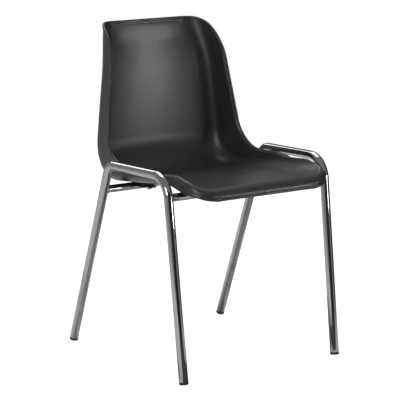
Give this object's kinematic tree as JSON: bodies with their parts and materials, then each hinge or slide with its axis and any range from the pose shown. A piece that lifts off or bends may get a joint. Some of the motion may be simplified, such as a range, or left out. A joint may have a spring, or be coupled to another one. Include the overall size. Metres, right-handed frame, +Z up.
{
  "type": "stacking shell chair",
  "caption": "Stacking shell chair: one-piece moulded bucket seat and back on a frame of two bent tube side hoops joined by cross tubes, on four glides.",
  "frame": {"origin": "on the floor under the middle of the chair's overall width and depth", "axes": "+Z up, the sitter faces -Y, +X to the sitter's left"},
  "size_m": [0.4834, 0.5174, 0.7963],
  "materials": {
    "shell_plastic": "fine leather grain moulded into black polypropylene, satin",
    "chromed_tube": "bright chrome plate",
    "zinc_steel": "zinc plated",
    "brass": "turned",
    "glide_plastic": "smooth black polyethylene"
  },
  "bodies": {
    "root": {"seat_shell": "shell_plastic", "left_side_hoop": "chromed_tube", "right_side_hoop": "chromed_tube", "front_cross_tube": "chromed_tube", "rear_cross_tube": "chromed_tube", "front_left_fixing_plate": "chromed_tube", "front_right_fixing_plate": "chromed_tube", "rear_left_fixing_plate": "chromed_tube", "rear_right_fixing_plate": "chromed_tube", "front_left_screw": "zinc_steel", "front_right_screw": "zinc_steel", "rear_left_screw": "zinc_steel", "rear_right_screw": "zinc_steel", "front_left_washer": "zinc_steel", "front_right_washer": "zinc_steel", "rear_left_washer": "zinc_steel", "rear_right_washer": "zinc_steel", "front_left_threaded_insert": "brass", "front_right_threaded_insert": "brass", "rear_left_threaded_insert": "brass", "rear_right_threaded_insert": "brass", "front_left_glide": "glide_plastic", "front_right_glide": "glide_plastic", "rear_left_glide": "glide_plastic", "rear_right_glide": "glide_plastic"}
  },
  "joints": []
}
